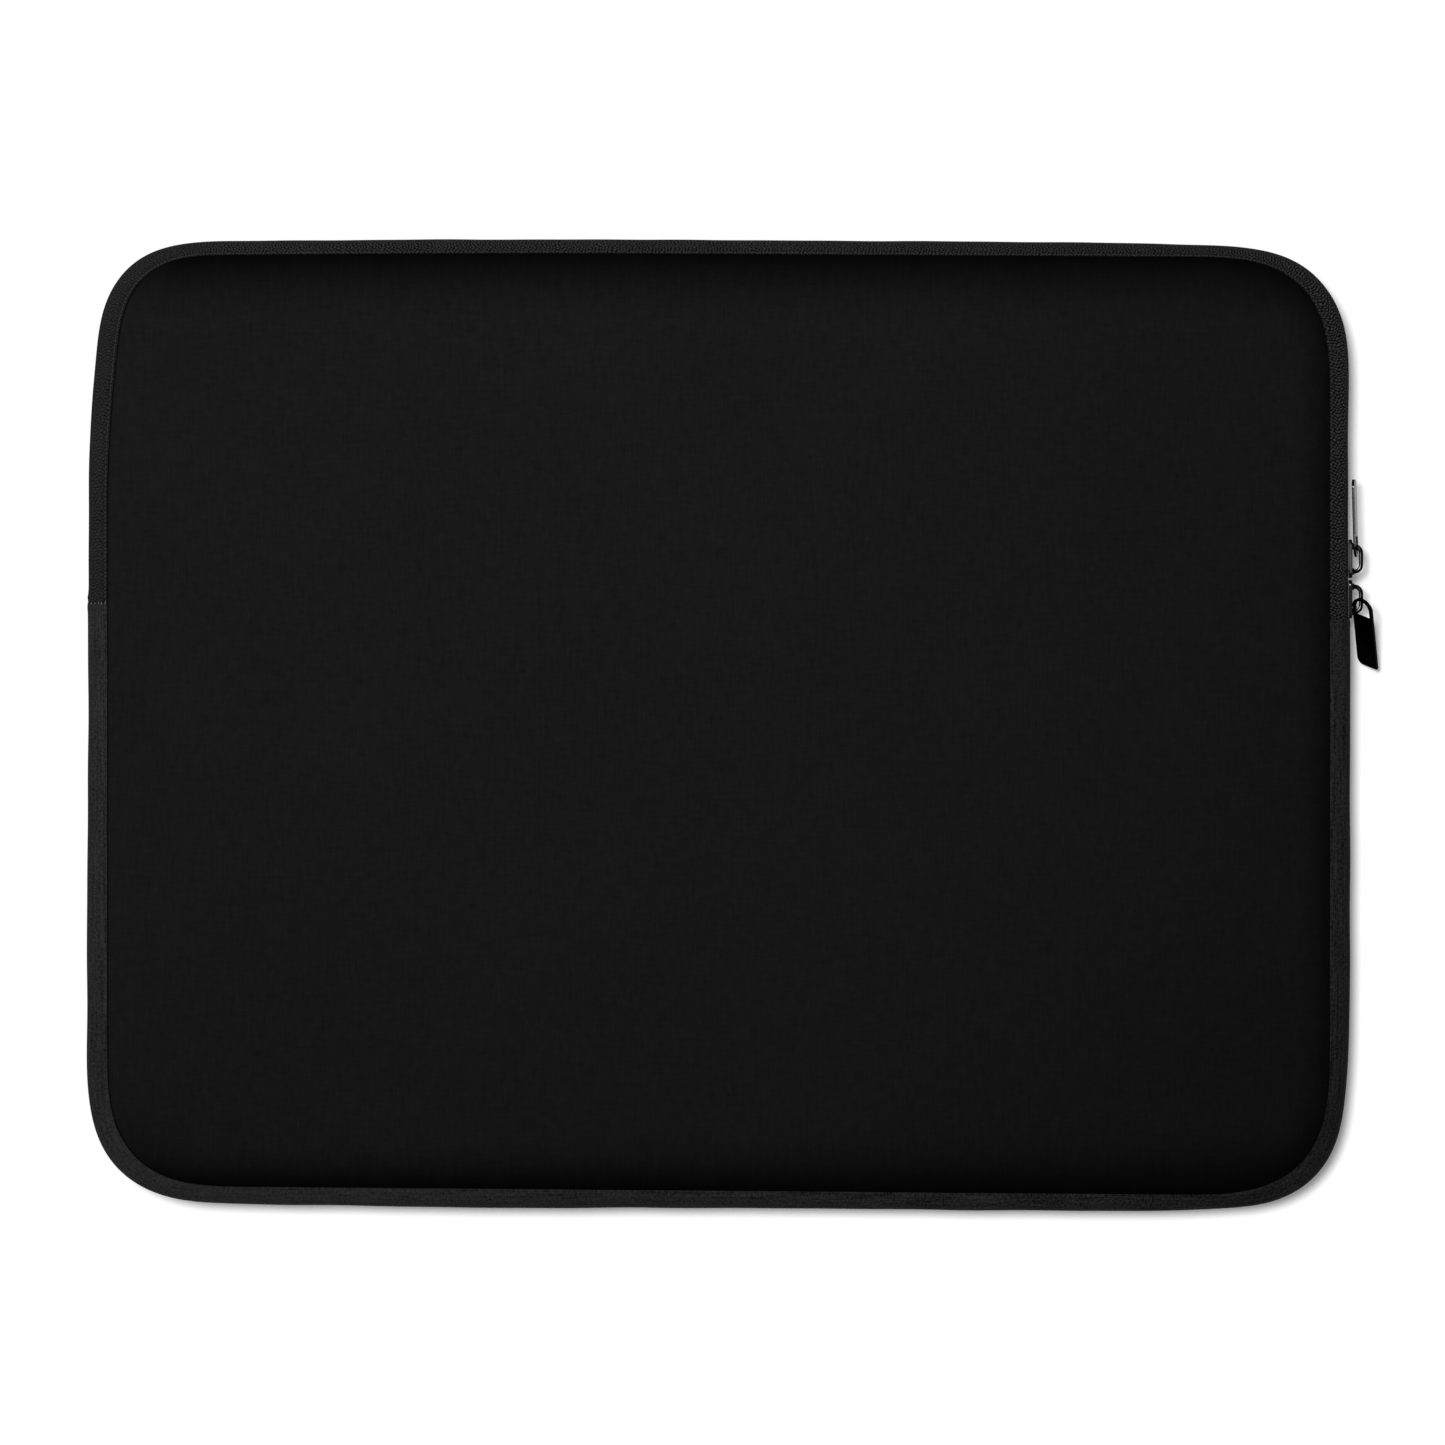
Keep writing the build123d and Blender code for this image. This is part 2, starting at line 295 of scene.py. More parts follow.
def tubeAlong(path, lift, width, height, sides, squareness=2.0):
    # points and faces of a bar with a rounded section; lift is the section's way up at each point
    side = unit(np.cross(unit(np.gradient(path, axis=0)), lift))
    points = np.zeros((len(path), sides, 3))
    for j in range(sides):
        turn = 2 * pi * j / sides
        wide, tall = squared(cos(turn), squareness), squared(sin(turn), squareness)
        points[:, j] = path + side * (wide * width / 2) + lift * (tall * height / 2)
    return points.reshape(-1, 3), barFaces(len(path), sides)


def lump(centre, half, squareness, rings=11, sides=18):  # points and faces of a rounded boss
    tilt = np.linspace(-pi / 2, pi / 2, rings)[:, None]
    turn = np.linspace(0, 2 * pi, sides, endpoint=False)[None, :]
    girth = squared(np.cos(tilt), squareness)
    x = squared(np.sin(tilt), squareness) * np.ones_like(turn)
    y = girth * squared(np.cos(turn), squareness)
    z = girth * squared(np.sin(turn), squareness)
    points = np.stack([x, y, z], axis=-1) * half + centre
    return points.reshape(-1, 3), gridFaces(rings, sides)


# materials


class Wire:  # a socket that takes part in sums
    def __init__(self, maths, socket):
        self.maths = maths
        self.socket = socket

    def __add__(self, other):
        return self.maths("ADD", self, other)

    def __sub__(self, other):
        return self.maths("SUBTRACT", self, other)

    def __rsub__(self, other):
        return self.maths("SUBTRACT", other, self)

    def __mul__(self, other):
        return self.maths("MULTIPLY", self, other)

    def __truediv__(self, other):
        return self.maths("DIVIDE", self, other)

    def __rtruediv__(self, other):
        return self.maths("DIVIDE", other, self)

    def __pow__(self, other):
        return self.maths("POWER", self, other)

    def __abs__(self):
        return self.maths("ABSOLUTE", self)

    __radd__, __rmul__ = __add__, __mul__


# painted shade: how fast cloth darkens towards the right and the bottom
cornerShade = {"right": 0.80, "up": 1.35, "rightBend": 3.6, "upBend": 4.6}


class Paint:  # the nodes of a material or of the world
    def __init__(self, name, kind="materials"):
        self.owner = getattr(bpy.data, kind).new(name)
        self.owner.use_nodes = True
        self.tree = self.owner.node_tree
        self.tree.nodes.clear()

    def add(self, kind, settings=None, values=(), output=0):  # kind is the node's type
        node = self.tree.nodes.new("ShaderNode" + kind)
        for key, value in (settings or {}).items():
            setattr(node, key, value)
        pairs = values.items() if isinstance(values, dict) else enumerate(values)
        for key, value in pairs:
            if isinstance(value, Wire):
                self.tree.links.new(value.socket, node.inputs[key])
            else:
                node.inputs[key].default_value = value
        return Wire(self.maths, node.outputs[output]) if len(node.outputs) else node

    def maths(self, operation, *values):
        return self.add("Math", {"operation": operation}, values)

    def parts(self, vector):
        return [self.add("SeparateXYZ", values=(vector,), output=i) for i in range(3)]

    def place(self):
        return self.parts(self.add("TexCoord", output="Object"))

    def stored(self, name, output):
        return self.add("Attribute", {"attribute_name": name}, output=output)

    def noise(self, spot, scale, detail, rough):
        where = self.add("CombineXYZ", values=spot)
        values = {"Vector": where, "Scale": scale, "Detail": detail, "Roughness": rough}
        return self.add("TexNoise", values=values)

    def uneven(self, spot, amount, *grain):  # noise about 0: amount, scale, detail and roughness
        return (self.noise(spot, *grain) - 0.5) * amount

    def wave(self, phase):  # 0 to 1, once for each whole number
        return self.maths("SINE", phase * (2 * pi)) * 0.5 + 0.5

    def zigzag(self, phase):  # 0 at whole numbers, 1 half way between them
        return abs(self.maths("FRACT", phase) - 0.5) * -2 + 1

    def between(self, value, low, high):  # smooth step
        values = {"Value": value, "From Min": low, "From Max": high}
        return self.add("MapRange", {"interpolation_type": "SMOOTHSTEP"}, values)

    def dimmed(self, value, low, high, amount):  # darker by the amount at low, as it is at high
        return self.between(value, low, high) * amount + (1 - amount)

    def shade(self, factor, look):  # from a look's dark colour to its light one
        values = {0: factor, 6: (*look["dark"], 1), 7: (*look["light"], 1)}
        return self.add("Mix", {"data_type": "RGBA"}, values, output=2)

    def shadedToCorner(self, colour, x, y, more=1.0):  # painted shade: cloth darker towards the lower right, standing in for light falling off across the sleeve
        f = cornerShade
        tone = 1 - x * f["right"] + y * f["up"] - x * x * f["rightBend"] - y * y * f["upBend"]
        values = {"Vector": colour, "Scale": tone * more}
        return self.add("VectorMath", {"operation": "SCALE"}, values)

    def finish(self, look, colour, height, others=()):
        depth, strength = look["bump"]
        values = {"Height": height, "Distance": depth, "Strength": strength}
        bump = self.add("Bump", values=values)
        values = {"Base Color": colour, "Roughness": look["rough"], "Normal": bump}
        values["Specular IOR Level"] = look["specular"]
        values.update(others)
        surface = self.add("BsdfPrincipled", values=values)
        self.add("OutputMaterial", values=(surface,))
        return self.owner


knitLook = {
    "dark": (0.0039, 0.0039, 0.0039), "light": (0.0116, 0.0116, 0.0116), "tone": 0.40, "relief": 0.26,
    "wale": 0.66 * mm, "course": 0.55 * mm, "loopSlant": 0.9, "loop": 0.45, "ribRound": 0.6,
    # uneven yarns up the ribs and along the courses; a run is the change across and along a yarn
    "heather": (0.66, 1.0, 3.0, 0.6), "slub": (0.58, 1.0, 3.0, 0.6),
    "heatherRun": (0.65, 190), "slubRun": (0.55, 240), "cloud": (0.26, 24.0, 4.0, 0.6),
    "bump": (0.10 * mm, 0.8), "rough": 0.90, "specular": 0.02,
}


def knitMaterial():
    p, look = Paint("black_rib_knit"), knitLook
    x, y, z = p.place()
    rib, course = x / look["wale"], y / look["course"]
    fold = p.zigzag(rib)  # 1 at a rib's middle
    loop = p.wave(course + fold * look["loopSlant"])
    height = fold ** look["ribRound"] * (loop * look["loop"] + (1 - look["loop"]))
    apart, along = look["heatherRun"]
    heather = p.uneven((p.maths("FLOOR", rib) * apart, y * along, z * along), *look["heather"])
    apart, along = look["slubRun"]
    slub = p.uneven((x * along, p.maths("FLOOR", course) * apart, z * along), *look["slub"])
    cloud = p.uneven((x, y, z), *look["cloud"])
    tone = height * look["relief"] + heather + slub + cloud + look["tone"]
    # painted shade on the rolled edge and towards the lower right
    return p.finish(look, p.shadedToCorner(p.shade(tone, look), x, y, p.stored("rim", "Fac")), height)


tapeLook = {
    "dark": (0.0008, 0.0008, 0.0008), "light": (0.0560, 0.0540, 0.0555), "tone": 0.43,
    "twill": 0.95 * mm, "column": 1.90 * mm, "slant": 0.9, "yarn": 1.0 * mm, "yarnShare": 0.8,
    "full": 1.2, "relief": (0.05, 0.85), "contrast": 0.62,
    "wobble": (1.0, 260.0, 2.0, 0.5), "twillWobble": 2.4, "yarnWobble": 2.0,
    "mottle": (1.4, 1600.0, 2.0, 0.6), "patch": (0.25, 90.0, 3.0, 0.6),
    # where the right and left sides begin, and their part in the contrast and in the painted light
    # that makes the right side lighter and the left darker
    "right": (0.14, 0.18), "left": (-0.14, -0.18),
    "sideContrast": (0.3, 0.4, 1.0), "sideLight": (0.23, 0.10, 0.73),
    # painted shade: from, to and how much darker along the pressed fold, on the side face and by the
    # panel
    "fold": 5.3 * mm, "creaseShade": (0.15 * mm, 0.55 * mm, 0.3), "sideFaceShade": (4.8 * mm, 6.6 * mm, 0.35),
    "tuckShade": (11.2 * mm, 9.4 * mm, 0.22),
    "bump": (0.16 * mm, 0.9), "rough": 0.82, "specular": 0.04,
}


def tapeMaterial():
    p, look = Paint("herringbone_zip_tape"), tapeLook
    x, y, z = p.place()
    along, across, _ = p.parts(p.stored("weave", "Vector"))
    wobble = p.uneven((along, across), *look["wobble"])
    slanted = p.zigzag(across / (2 * look["column"])) * look["slant"]
    twill = p.wave(along / look["twill"] + slanted + wobble * look["twillWobble"])
    yarn = p.wave(across / look["yarn"] + along / (2 * look["twill"]) + wobble * look["yarnWobble"])
    height = twill * (yarn * look["yarnShare"] + (1 - look["yarnShare"])) * look["full"]
    # painted light: the tape's right side lighter and its left side darker
    right, left = p.between(x, *look["right"]), p.between(x, *look["left"])
    sides = (look["sideContrast"], look["sideLight"])
    contrast, tone = [right * more - left * less + usual for more, less, usual in sides]
    relief = p.between(height, *look["relief"]) - 0.5
    grain = relief * look["contrast"] + p.uneven((along, across), *look["mottle"])
    patch = p.uneven((along, across), *look["patch"])
    out = abs(across)
    # painted shade along the pressed fold, on the side face and by the panel
    paintedShade = p.dimmed(abs(out - look["fold"]), *look["creaseShade"])
    paintedShade = paintedShade * p.dimmed(out, *look["sideFaceShade"]) * p.dimmed(out, *look["tuckShade"])
    colour = p.shade(grain * contrast + patch + look["tone"], look)
    # painted shade towards the lower right, times the tape's painted shade and painted side light
    return p.finish(look, p.shadedToCorner(colour, x, y, paintedShade * tone), height)


gussetLook = {
    "dark": (0.0030, 0.0030, 0.0030), "light": (0.0352, 0.0347, 0.0350), "tone": 0.44,
    "yarn": 0.45 * mm, "warp": 0.5, "weft": 0.3, "flip": 0.2, "relief": 0.30,
    "streak": (1.0, 1.0, 3.0, 0.6), "streakRun": (60, 1500),  # how fast it changes along and across
    "fleck": (1.35, 1300.0, 2.0, 0.6), "cloud": (0.35, 120.0, 3.0, 0.6),
    # painted light: the gusset's left side lighter and its right side darker
    "right": (0.165, 0.185), "left": (-0.165, -0.185), "sideLight": 0.03,
    "lower": (-0.10, -0.14), "lowerLeft": (-0.02, -0.13), "paleShare": 0.12,  # painted light: paler by the lower left
    "coarseFrom": (-0.05, 0.10), "coarse": 0.7, "rightCoarse": 0.5,  # grain towards the right
    "bump": (0.07 * mm, 0.8), "rough": 0.84, "specular": 0.04,
}


def gussetMaterial():
    p, look = Paint("plain_gusset_weave"), gussetLook
    x, y, z = p.place()
    along, across, _ = p.parts(p.stored("weave", "Vector"))
    yarn, (runAlong, runAcross) = look["yarn"], look["streakRun"]
    warp, weft = p.wave(across / yarn), p.wave(along / yarn)
    flip = p.wave(across / (2 * yarn)) * p.wave(along / (2 * yarn))
    height = warp * look["warp"] + weft * look["weft"] + flip * look["flip"]
    streak = p.uneven((along * runAlong, across * runAcross), *look["streak"])
    grain = (height - 0.5) * look["relief"] + streak + p.uneven((along, across), *look["fleck"])
    # painted light, paler towards the lower left
    paleShare = p.between(y, *look["lower"]) * p.between(x, *look["lowerLeft"]) * look["paleShare"]
    right, left = p.between(x, *look["right"]), p.between(x, *look["left"])
    coarse = p.between(x, *look["coarseFrom"]) * look["coarse"] - right * look["rightCoarse"] + 1.0
    tone = grain * coarse + p.uneven((along, across), *look["cloud"]) + paleShare + look["tone"]
    # painted light: the left side lighter, the right side darker
    tone = tone + (left - right) * look["sideLight"]
    # painted shade towards the lower right
    return p.finish(look, p.shadedToCorner(p.shade(tone, look), x, y), height)


innerLook = {  # lining and binding
    "brushed_lining": {
        "dark": (0.010, 0.010, 0.011), "light": (0.030, 0.030, 0.032), "yarn": 0.5 * mm,
        "bump": (0.04 * mm, 0.7), "rough": 0.88, "specular": 0.1},
    "woven_binding": {
        "dark": (0.007, 0.007, 0.008), "light": (0.024, 0.024, 0.025), "yarn": 0.7 * mm,
        "bump": (0.08 * mm, 0.7), "rough": 0.82, "specular": 0.1},
    "relief": 0.30, "cloud": 0.35, "nap": 0.30,
    "cloudGrain": (160.0, 3.0, 0.6), "napGrain": (1200.0, 2.0, 0.6),
}


def innerMaterial(name):
    p, look = Paint(name), innerLook[name]
    x, y, z = p.place()
    height = p.wave((x + y * 0.5) / look["yarn"]) * 0.5 + p.wave((y - x * 0.5) / look["yarn"]) * 0.5
    cloud, nap = [p.noise((x, y, z), *innerLook[grain]) for grain in ("cloudGrain", "napGrain")]
    tone = height * innerLook["relief"] + cloud * innerLook["cloud"] + nap * innerLook["nap"]
    return p.finish(look, p.shade(tone, look), height)


foamLook = {
    "dark": (0.030, 0.030, 0.032), "light": (0.055, 0.055, 0.058), "cells": 1400.0,
    "bump": (0.15 * mm, 0.6), "rough": 0.95, "specular": 0.1,
}


def foamMaterial():
    p, look = Paint("closed_cell_foam"), foamLook
    where = p.add("CombineXYZ", values=p.place())
    cells = p.add("TexVoronoi", values={"Vector": where, "Scale": look["cells"]})
    return p.finish(look, p.shade(cells, look), cells)


threadLook = {
    "seam_thread": {"dark": (0.012, 0.012, 0.013), "light": (0.052, 0.051, 0.053)},
    # painted light: one tack thread, lit on the left and shaded on the right
    "lit_left_tack_thread": {"dark": (0.026, 0.026, 0.027), "light": (0.130, 0.129, 0.132)},
    "shaded_right_tack_thread": {"dark": (0.006, 0.006, 0.006), "light": (0.028, 0.028, 0.029)},
    "twist": 0.22 * mm, "slant": 0.6, "fuzz": (2500.0, 2.0, 0.6),
    "bump": (0.05 * mm, 0.6), "rough": 0.7, "specular": 0.15,
}


def threadMaterial(name):
    p, look = Paint(name), threadLook
    x, y, z = p.place()
    twist = p.wave((x + y + z * look["slant"]) / look["twist"])
    tone = twist * 0.5 + p.noise((x, y, z), *look["fuzz"]) * 0.5
    # painted shade towards the lower right
    return p.finish(look, p.shadedToCorner(p.shade(tone, look[name]), x, y), twist)


coilLook = {
    "dark": (0.006, 0.006, 0.0065), "light": (0.014, 0.014, 0.015), "grain": (1800.0, 2.0, 0.5),
    "bump": (0.03 * mm, 0.4), "rough": 0.28, "roughMore": 0.15, "specular": 0.5,
}


def coilMaterial():
    p, look = Paint("nylon_coil"), coilLook
    grain = p.noise(p.place(), *look["grain"])
    rough = grain * look["roughMore"] + look["rough"]
    return p.finish(look, p.shade(grain, look), grain, {"Roughness": rough})


enamelLook = {
    "dark": (0.0100, 0.0100, 0.0106), "light": (0.050, 0.051, 0.054),  # fresh and worn
    "peel": (700.0, 2.0, 0.5), "scuff": (1.0, 4.0, 0.7), "scuffRun": (900, 240),
    "scuffWear": (0.62, 0.80), "edgeWear": (0.53, 0.62), "wear": (0.25, 0.35),
    "bump": (0.015 * mm, 0.25), "rough": 0.10, "wornRough": 0.16, "peelRough": 0.03, "specular": 0.5,
    "edgeTint": (0.30, 0.30, 0.32, 1),
}


def enamelMaterial():
    p, look = Paint("black_slider_enamel"), enamelLook
    x, y, z = p.place()
    across, along = look["scuffRun"]
    peel = p.noise((x, y, z), *look["peel"])
    scuff = p.noise((x * across, y * along, z * across), *look["scuff"])
    edge = p.add("NewGeometry", output="Pointiness")  # above 0.5 on edges that hands rub
    scuffed, paleShare = p.between(scuff, *look["scuffWear"]), p.between(edge, *look["edgeWear"])
    wear = scuffed * look["wear"][0] + paleShare * look["wear"][1]
    rough = wear * look["wornRough"] + peel * look["peelRough"] + look["rough"]
    others = {"Roughness": rough, "Metallic": 1.0, "Specular Tint": look["edgeTint"]}
    return p.finish(look, p.shade(wear, look), peel, others)


knit, tapeCloth, gussetCloth = knitMaterial(), tapeMaterial(), gussetMaterial()
liningCloth, bindingCloth = innerMaterial("brushed_lining"), innerMaterial("woven_binding")
foam, coilNylon, enamel = foamMaterial(), coilMaterial(), enamelMaterial()
seamThread = threadMaterial("seam_thread")
# painted light: lit and shaded copies of the same tack thread
litLeftThread, shadedRightThread = threadMaterial("lit_left_tack_thread"), threadMaterial("shaded_right_tack_thread")
print("materials made")


def dress(piece, material, slot, *stoodFor, body="sleeve"):
    piece.data.materials.clear()
    piece.data.materials.append(material)
    if stoodFor:
        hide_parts(*stoodFor)
    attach(piece, body)
    return piece


panelShape = {
    "around": 3.0, "grid": 4.5, "rollSteps": 10, "roll": 11.5, "leftRoll": 9.0, "wayReach": 3.0,
    "leftBlend": (0.25, 0.65),  # how far left a seam has to face for the left roll, and its blend
    "swellCap": 0.6, "frames": 20, "unevenness": 0.06, "waves": (61, 83, 127, 47),
    "knitPly": 0.7, "foamGap": 0.75,
    # painted shade on the rolled edge: how much darker it is at the right, top, bottom and left, and
    # how far in
    "rims": (0.70, 0.92, 1.0, 0.0), "rimReaches": (10.5, 21.0, 17.5, 17.5),
    "rimSpread": 0.03, "rimFall": 1.6,
}
swellSettings = {
    "quality": 6, "mass": 0.25, "tension_stiffness": 25, "compression_stiffness": 25,
    "bending_stiffness": 2, "vertex_group_mass": "held", "pin_stiffness": 1,
    "use_pressure": True, "uniform_pressure_force": 4.0,
}


def filled(ring, step):  # triangles inside a convex ring, on a grid of points a little way off it
    low, high = ring.min(0), ring.max(0)
    gridX, gridY = np.meshgrid(np.arange(low[0], high[0], step), np.arange(low[1], high[1], step))
    gridX[1::2] += step / 2
    spots = np.column_stack([gridX.ravel(), gridY.ravel()])
    clear = np.full(len(spots), np.inf)
    for corner, run in zip(ring, unit(np.roll(ring, -1, axis=0) - ring)):
        away = spots - corner
        clear = np.minimum(clear, run[0] * away[:, 1] - run[1] * away[:, 0])
    spots = spots[clear > step * 0.6]
    seeds = [Vector(spot) for spot in np.vstack([ring, spots]).tolist()]
    made = geometry.delaunay_2d_cdt(seeds, [], [list(range(len(ring)))], 1, 1e-6)
    flat = np.array([tuple(v) for v in made[0]])
    triangles = []
    for a, b, c in made[2]:
        upward = np.cross(flat[b] - flat[a], flat[c] - flat[a]) > 0
        triangles.append([a, b, c] if upward else [c, b, a])
    return flat, triangles


def paddedForm():
    # closed crowned pad: rings of the rolled edge from the seam up, a flat middle, a flat underside
    shape, floor = panelShape, middle + seamHalf
    along = roundWay(shape["around"])
    outward = outwardAt(along, shape["wayReach"])
    least, blend = shape["leftBlend"]
    leftward = np.clip((-outward[:, 0] - least) / blend, 0, 1)
    leftward = leftward ** 2 * (3 - 2 * leftward)
    reach = shape["roll"] + (shape["leftRoll"] - shape["roll"]) * leftward
    seam = onTrack(edgeTrack(1), along)
    rings = []
    for step in range(shape["rollSteps"] + 1):
        turn = pi / 2 * step / shape["rollSteps"]
        steep, gentle = 1 - cos(turn), step / shape["rollSteps"]  # the left edge rises gently
        inset = reach * (steep + (gentle - steep) * leftward)
        rings.append(atHeight(seam - outward * inset[:, None], floor + crownRise * sin(turn)))
    count = len(along)
    flat, triangles = filled(rings[-1][:, :2], shape["grid"])
    inner, top = (len(rings) - 1) * count, len(rings) * count
    under = top + len(flat) - count
    onTop = [i + inner if i < count else i - count + top for i in range(len(flat))]
    topFaces = [quad[::-1] for quad in gridFaces(len(rings), count)]
    topFaces += [[onTop[i] for i in triangle] for triangle in triangles]
    underFaces = [[i, under + i, under + (i + 1) % count, (i + 1) % count] for i in range(count)]
    underFaces += [[under + i for i in triangle[::-1]] for triangle in triangles]
    points = np.vstack(rings + [atHeight(flat[count:], floor + crownRise), atHeight(flat, floor)])
    return points, topFaces, underFaces, count, under, outward


def blownUp(points, faces, held):
    # the pad swells a little as cloth; the held points stay where they are sewn
    shape, scene = panelShape, bpy.context.scene
    piece = makeMesh("swelling", points, faces)
    group = piece.vertex_groups.new(name=swellSettings["vertex_group_mass"])
    group.add([int(i) for i in held], 1.0, "REPLACE")
    cloth = piece.modifiers.new("swell", "CLOTH")
    for key, value in swellSettings.items():
        setattr(cloth.settings, key, value)
    cloth.settings.effector_weights.gravity = 0
    cloth.collision_settings.use_collision = False
    cloth.point_cache.frame_start = 1
    cloth.point_cache.frame_end = shape["frames"]
    for step in range(1, shape["frames"] + 1):
        scene.frame_set(step)
    solved = piece.evaluated_get(bpy.context.evaluated_depsgraph_get())
    moved = np.array([v.co for v in solved.data.vertices]) / mm
    scene.frame_set(1)
    bpy.data.objects.remove(piece)
    shift = moved - points
    size = np.linalg.norm(shift, axis=1)
    print("swell up to", round(float(size.max()), 2), "mm")
    eased = np.tanh(size / shape["swellCap"]) * shape["swellCap"] / np.maximum(size, 1e-6)
    return points + shift * eased[:, None]


def pointNormals(points, faces):
    total = np.zeros_like(points)
    for corners in (3, 4):
        some = np.array([face for face in faces if len(face) == corners])
        if len(some):
            a, b, c = [points[some[:, k]] for k in range(3)]
            normal = np.cross(b - a, c - a)
            for k in range(corners):
                np.add.at(total, some[:, k], normal)
    return total / np.maximum(np.linalg.norm(total, axis=1), 1e-9)[:, None]


def rimShade(points, batch=2000):  # painted shade: 1 in the middle of a panel, less on its rolled edge
    shape = panelShape
    along = np.linspace(0, wholeWay, 500, endpoint=False)
    seam, outward = onTrack(edgeTrack(1), along), outwardAt(along, shape["wayReach"])
    tone = np.ones(len(points))
    for k in range(0, len(points), batch):
        spots = points[k:k + batch, :2]
        away = np.linalg.norm(spots[:, None] - seam[None], axis=2)
        way = outward[away.argmin(axis=1)]
        # how much the nearest seam faces right, up, down and left
        ways = np.maximum([way[:, 0], way[:, 1], -way[:, 1], -way[:, 0]], 0) ** 2
        reach = np.array(shape["rimReaches"]) @ ways + shape["rimSpread"] * spots[:, 0] * ways[2]
        near = np.clip(1 - away.min(axis=1) / reach, 0, 1)
        tone[k:k + batch] = 1 - np.array(shape["rims"]) @ ways * near ** shape["rimFall"]
    return tone


padPoints, topFaces, underFaces, ringCount, underStart, seamOut = paddedForm()
sewn = np.concatenate([np.arange(2 * ringCount), np.arange(underStart, len(padPoints))])
padPoints = blownUp(padPoints, topFaces + underFaces, sewn)
skin = padPoints[:underStart]
lift = np.clip((skin[:, 2] - middle - seamHalf) / crownRise, 0, 1)
uneven = ripples(skin[:, 0], skin[:, 1], panelShape["waves"], seed=5)
skin[:, 2] += lift * panelShape["unevenness"] * uneven
skinWay = pointNormals(skin, topFaces)
skinWay[:ringCount] = atHeight(seamOut, 0)
# painted shade of the rolled edge, stored on the panel's points
rim = rimShade(skin)

# each knit panel is a shell of one ply, and its foam fills it
knitPoints = np.vstack([skin, skin - skinWay * panelShape["knitPly"]])
knitFaces = plyFaces(topFaces, ringCount, underStart)
foamPoints = np.vstack([skin - skinWay * panelShape["foamGap"], padPoints[underStart:]])
for side, sign in bothSides:
    shell, shellFaces = forSide(sign, knitPoints, knitFaces)
    if sign < 0:
        # flat where it lies
        shell[:underStart, 2] = np.maximum(shell[:underStart, 2], backLow.z / mm)
    panel = makeMesh(f"{side}_knit_panel", shell, shellFaces, rim=np.concatenate([rim, rim]))
    dress(panel, knit, "knit_fabric", f"{side}_outer_fabric")
    pad = makeMesh(f"{side}_foam_pad", *forSide(sign, foamPoints, topFaces + underFaces))
    dress(pad, foam, "padding_foam", f"{side}_foam")
print("panels made with", len(skin), "points each")


band = {
    "shoulder": 5.6, "step": 1.6, "edge": 0.003, "tuck": 0.10,
    "rounding": 0.3, "endGap": 0.6,  # of a ply's cut edges, and where its even steps begin
    # depth under the band's face, thickness and even steps of the tape and the gusset's three plies
    "tape": (0, 0.5, 12), "cloth": (0, 0.8, 24),
    "foam_strip": (0.85, 1.8, 14), "lining_cloth": (2.7, 0.6, 14),
    "innerHalf": 5.88, "tapeStart": 0.04, "tapeEnd": 0.05, "gussetEnd": 0.05,
    "tapeUneven": 0.10, "tapeWaves": (37, 53, 23, 71),
    "gussetUneven": 0.16, "gussetWaves": (41, 67, 97, 29),
    # height, place and reach of the tape's bulges over its left stitches and of the gusset's hems
    "bulges": ((0.27, 0, 16), (0.36, 1.6, 1.5)), "hem": (0.10, 1.3, 1.2), "lip": 0.5,
    "hemSteps": (0, 0.12, 0.3, 0.6, 1.0, 1.6, 2.3), "hemLength": 3.2,
}


def bandLine(low, high, steps=600):
    # the band's outer line in section: length so far, then heights, shares and the way into the cloth
    heights = low + (high - low) * (1 - np.cos(np.linspace(0, pi, steps))) / 2
    shares = bendShare(heights)
    inset = shares * band["shoulder"]
    rise, fall = np.gradient(heights), np.gradient(inset)
    size = np.hypot(rise, fall)
    length = lengthSoFar(np.column_stack([heights, inset]))
    return length, (heights, shares, rise / size, -fall / size)


def bandSection(low, high, depth, ply, steps, setback=0):
    # closed section of one ply of the edge band, from low to high over the sleeve's middle
    length, line = bandLine(low, high)
    rounding, gap = ply * band["rounding"], band["endGap"]
    ends = rounding * np.array([0, 0.12, 0.4, 1.0])  # closer steps round the cut edges
    even = np.linspace(gap, length[-1] - gap, steps)
    picked = np.concatenate([ends, even, (length[-1] - ends)[::-1]])
    h, s, n, u = [np.interp(picked, length, row) for row in line]
    s = s * (1 + band["tuck"] * s ** 6)  # the sewn edge goes a little way under the panel
    start = np.interp(0, line[0], length) if low < 0 else 0
    edge = np.clip(1 - np.minimum(picked, length[-1] - picked) / rounding, 0, 1)
    ease = rounding * (1 - np.sqrt(1 - edge ** 2))
    outer, inner = [
        np.column_stack([s, depth + (1 - s) * setback + n * inside, h + u * inside])
        for inside in (ease, ply - ease)]
    across = picked - start
    return np.vstack([outer, inner[::-1]]), np.concatenate([across, across[::-1]])


def tapeSwell(along, across):
    uneven = band["tapeUneven"] * ripples(along, across * 4, band["tapeWaves"], seed=11)
    return uneven + sway(along) + sum(hill(zipEnd - along, *bulge) for bulge in band["bulges"])


def gussetSwell(along, across):
    edge = np.minimum(along - zipEnd, wholeWay + zipStart - along)  # from the seams at the zip's ends
    deep = band["lip"]
    lip = deep - np.sqrt(deep ** 2 - np.clip(deep - edge, 0, deep) ** 2)
    uneven = band["gussetUneven"] * ripples(along, across * 3, band["gussetWaves"], seed=17)
    return uneven + sway(along) + hill(edge, *band["hem"]) - lip


def innerSwell(along, across):
    return sway(along)


def sheetSize(name, across, way):
    width, length = np.ptp(across), way[-1] - way[0]
    print(name, round(width, 2), "by", round(length, 1))
    return width * mm, length * mm


